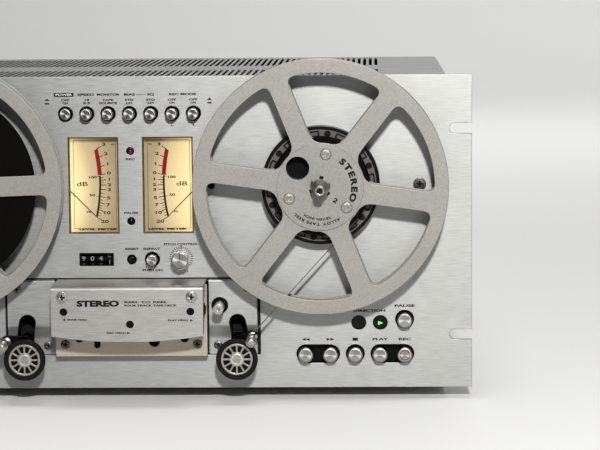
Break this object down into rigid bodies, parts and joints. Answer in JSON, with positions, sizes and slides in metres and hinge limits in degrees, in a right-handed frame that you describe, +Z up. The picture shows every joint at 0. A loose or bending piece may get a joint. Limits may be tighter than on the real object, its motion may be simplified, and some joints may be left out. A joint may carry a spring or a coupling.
{
  "type": "reel to reel tape deck",
  "caption": "Rack-mount open-reel tape recorder: brushed panel, spoked metal reels, tension rollers, head cover, push buttons, backlit meters and a vented grey case.",
  "frame": {"origin": "centre of the footprint, on the surface that the feet stand on", "axes": "+Z up, the front panel faces -Y, +X to the right of someone facing the front"},
  "size_m": [0.48, 0.356, 0.2428],
  "materials": {
    "panel_aluminium": "horizontally brushed, clear anodised",
    "reel_aluminium": "fine bead-blasted, anodised",
    "champagne_plate": "satin, champagne tint",
    "chrome": "polished and spun",
    "case_paint": "metallic grey, satin",
    "zinc_steel": "zinc plated",
    "core_iron": "varnished laminations",
    "black_plastic": "black, satin",
    "rubber": "black, matt",
    "tape": "wound tape edge, dark brown",
    "board": "green solder mask",
    "meter_face": "backlit warm cream"
  },
  "bodies": {
    "root": {"front_panel": "panel_aluminium", "chassis": "zinc_steel", "top_cover": "case_paint", "rear_panel": "case_paint", "foot_front_left": "rubber", "foot_front_right": "rubber", "foot_rear_left": "rubber", "foot_rear_right": "rubber", "power_transformer": "core_iron", "circuit_board": "board", "capstan_motor": "zinc_steel", "supply_motor": "zinc_steel", "takeup_motor": "zinc_steel", "head_base": "champagne_plate", "head_cover": "panel_aluminium", "erase_head": "chrome", "record_head": "chrome", "play_head": "chrome", "left_guide_plate": "panel_aluminium", "right_guide_plate": "panel_aluminium", "left_meter": "meter_face", "right_meter": "meter_face"},
    "supply_reel": {"supply_table": "black_plastic", "supply_rear_flange": "reel_aluminium", "supply_front_flange": "reel_aluminium", "supply_tape_pack": "tape"},
    "supply_lock": {"supply_lock": "chrome"},
    "takeup_reel": {"takeup_table": "black_plastic", "takeup_rear_flange": "reel_aluminium", "takeup_front_flange": "reel_aluminium", "takeup_tape_pack": "tape"},
    "takeup_lock": {"takeup_lock": "chrome"},
    "left_tension_arm": {"left_tension_arm": "black_plastic"},
    "left_roller": {"left_roller": "rubber"},
    "right_tension_arm": {"right_tension_arm": "black_plastic"},
    "right_roller": {"right_roller": "rubber"},
    "capstan": {"capstan": "chrome"},
    "pinch_arm": {"pinch_arm": "zinc_steel"},
    "pinch_roller": {"pinch_roller": "rubber"},
    "left_needle": {"left_needle": "black_plastic"},
    "right_needle": {"right_needle": "black_plastic"},
    "counter_wheels": {"counter_wheels": "black_plastic"},
    "power_button": {"power_button": "chrome"},
    "speed_button": {"speed_button": "chrome"},
    "monitor_button": {"monitor_button": "chrome"},
    "bias_button": {"bias_button": "chrome"},
    "eq_button": {"eq_button": "chrome"},
    "left_rec_button": {"left_rec_button": "chrome"},
    "right_rec_button": {"right_rec_button": "chrome"},
    "repeat_button": {"repeat_button": "chrome"},
    "reset_button": {"reset_button": "black_plastic"},
    "rewind_button": {"rewind_button": "chrome"},
    "fast_forward_button": {"fast_forward_button": "chrome"},
    "stop_button": {"stop_button": "chrome"},
    "play_button": {"play_button": "chrome"},
    "record_button": {"record_button": "chrome"},
    "pause_button": {"pause_button": "chrome"},
    "pitch_knob": {"pitch_knob": "chrome"},
    "record_level_knob": {"record_level_knob": "chrome"},
    "output_level_knob": {"output_level_knob": "chrome"}
  },
  "joints": [
    {"name": "supply_spin", "type": "hinge", "parent": "root", "child": "supply_reel", "pos_m": [-0.1341, -0.145, 0.1539], "axis": [0, -1, 0], "continuous": true},
    {"name": "supply_lock_turn", "type": "hinge", "parent": "supply_reel", "child": "supply_lock", "pos_m": [-0.1341, -0.165, 0.1539], "axis": [0, -1, 0], "range_deg": [0, 60]},
    {"name": "takeup_spin", "type": "hinge", "parent": "root", "child": "takeup_reel", "pos_m": [0.1341, -0.145, 0.1539], "axis": [0, -1, 0], "continuous": true},
    {"name": "takeup_lock_turn", "type": "hinge", "parent": "takeup_reel", "child": "takeup_lock", "pos_m": [0.1341, -0.165, 0.1539], "axis": [0, -1, 0], "range_deg": [0, 60]},
    {"name": "left_tension_swing", "type": "hinge", "parent": "root", "child": "left_tension_arm", "pos_m": [-0.0245, -0.115, 0.0435], "axis": [0, 1, 0], "range_deg": [0, 14], "stiffness_Nm_per_rad": 0.15, "springref_deg": -20.05},
    {"name": "left_roller_spin", "type": "hinge", "parent": "left_tension_arm", "child": "left_roller", "pos_m": [-0.0738, -0.145, 0.0335], "axis": [0, -1, 0], "continuous": true},
    {"name": "right_tension_swing", "type": "hinge", "parent": "root", "child": "right_tension_arm", "pos_m": [0.0245, -0.115, 0.0435], "axis": [0, -1, 0], "range_deg": [0, 14], "stiffness_Nm_per_rad": 0.15, "springref_deg": -20.05},
    {"name": "right_roller_spin", "type": "hinge", "parent": "right_tension_arm", "child": "right_roller", "pos_m": [0.075, -0.145, 0.0335], "axis": [0, -1, 0], "continuous": true},
    {"name": "capstan_spin", "type": "hinge", "parent": "root", "child": "capstan", "pos_m": [0.0621, -0.125, 0.0683], "axis": [0, -1, 0], "continuous": true},
    {"name": "pinch_press", "type": "hinge", "parent": "root", "child": "pinch_arm", "pos_m": [0.0453, -0.138, 0.0545], "axis": [0, 1, 0], "range_deg": [0, 23.4], "stiffness_Nm_per_rad": 0.06, "springref_deg": -17.19},
    {"name": "pinch_roller_spin", "type": "hinge", "parent": "pinch_arm", "child": "pinch_roller", "pos_m": [0.0453, -0.145, 0.0675], "axis": [0, -1, 0], "continuous": true},
    {"name": "left_needle_swing", "type": "hinge", "parent": "root", "child": "left_needle", "pos_m": [-0.047, -0.116, 0.1519], "axis": [0, -1, 0], "range_deg": [0, 88], "stiffness_Nm_per_rad": 0.001},
    {"name": "right_needle_swing", "type": "hinge", "parent": "root", "child": "right_needle", "pos_m": [0.047, -0.116, 0.1519], "axis": [0, 1, 0], "range_deg": [0, 88], "stiffness_Nm_per_rad": 0.001},
    {"name": "counter_roll", "type": "hinge", "parent": "root", "child": "counter_wheels", "pos_m": [-0.025, -0.1118, 0.1007], "axis": [1, 0, 0], "continuous": true},
    {"name": "power_press", "type": "slide", "parent": "root", "child": "power_button", "axis": [0, 1, 0], "range_m": [-0.004, 0]},
    {"name": "speed_press", "type": "slide", "parent": "root", "child": "speed_button", "axis": [0, 1, 0], "range_m": [0, 0.004], "stiffness_N_per_m": 300},
    {"name": "monitor_press", "type": "slide", "parent": "root", "child": "monitor_button", "axis": [0, 1, 0], "range_m": [0, 0.004], "stiffness_N_per_m": 300},
    {"name": "bias_press", "type": "slide", "parent": "root", "child": "bias_button", "axis": [0, 1, 0], "range_m": [0, 0.004], "stiffness_N_per_m": 300},
    {"name": "eq_press", "type": "slide", "parent": "root", "child": "eq_button", "axis": [0, 1, 0], "range_m": [0, 0.004], "stiffness_N_per_m": 300},
    {"name": "left_rec_press", "type": "slide", "parent": "root", "child": "left_rec_button", "axis": [0, 1, 0], "range_m": [0, 0.004], "stiffness_N_per_m": 300},
    {"name": "right_rec_press", "type": "slide", "parent": "root", "child": "right_rec_button", "axis": [0, 1, 0], "range_m": [0, 0.004], "stiffness_N_per_m": 300},
    {"name": "repeat_press", "type": "slide", "parent": "root", "child": "repeat_button", "axis": [0, 1, 0], "range_m": [0, 0.004], "stiffness_N_per_m": 300},
    {"name": "reset_press", "type": "slide", "parent": "root", "child": "reset_button", "axis": [0, 1, 0], "range_m": [0, 0.002], "stiffness_N_per_m": 400},
    {"name": "rewind_press", "type": "slide", "parent": "root", "child": "rewind_button", "axis": [0, 1, 0], "range_m": [0, 0.004], "stiffness_N_per_m": 350},
    {"name": "fast_forward_press", "type": "slide", "parent": "root", "child": "fast_forward_button", "axis": [0, 1, 0], "range_m": [0, 0.004], "stiffness_N_per_m": 350},
    {"name": "stop_press", "type": "slide", "parent": "root", "child": "stop_button", "axis": [0, 1, 0], "range_m": [0, 0.004], "stiffness_N_per_m": 350},
    {"name": "play_press", "type": "slide", "parent": "root", "child": "play_button", "axis": [0, 1, 0], "range_m": [0, 0.004], "stiffness_N_per_m": 350},
    {"name": "record_press", "type": "slide", "parent": "root", "child": "record_button", "axis": [0, 1, 0], "range_m": [0, 0.004], "stiffness_N_per_m": 350},
    {"name": "pause_press", "type": "slide", "parent": "root", "child": "pause_button", "axis": [0, 1, 0], "range_m": [0, 0.004], "stiffness_N_per_m": 350},
    {"name": "pitch_turn", "type": "hinge", "parent": "root", "child": "pitch_knob", "pos_m": [0.035, -0.132, 0.1013], "axis": [0, 1, 0], "range_deg": [-140, 140]},
    {"name": "record_level_turn", "type": "hinge", "parent": "root", "child": "record_level_knob", "pos_m": [-0.13, -0.133, 0.0415], "axis": [0, 1, 0], "range_deg": [0, 280]},
    {"name": "output_level_turn", "type": "hinge", "parent": "root", "child": "output_level_knob", "pos_m": [-0.168, -0.133, 0.0415], "axis": [0, 1, 0], "range_deg": [0, 280]}
  ],
  "couplings": [
    {"joint": "takeup_spin", "follows": "supply_spin", "ratio": 2.0441},
    {"joint": "left_roller_spin", "follows": "supply_spin", "ratio": 6.95},
    {"joint": "right_roller_spin", "follows": "supply_spin", "ratio": 6.95},
    {"joint": "counter_roll", "follows": "supply_spin", "ratio": 0.25}
  ]
}
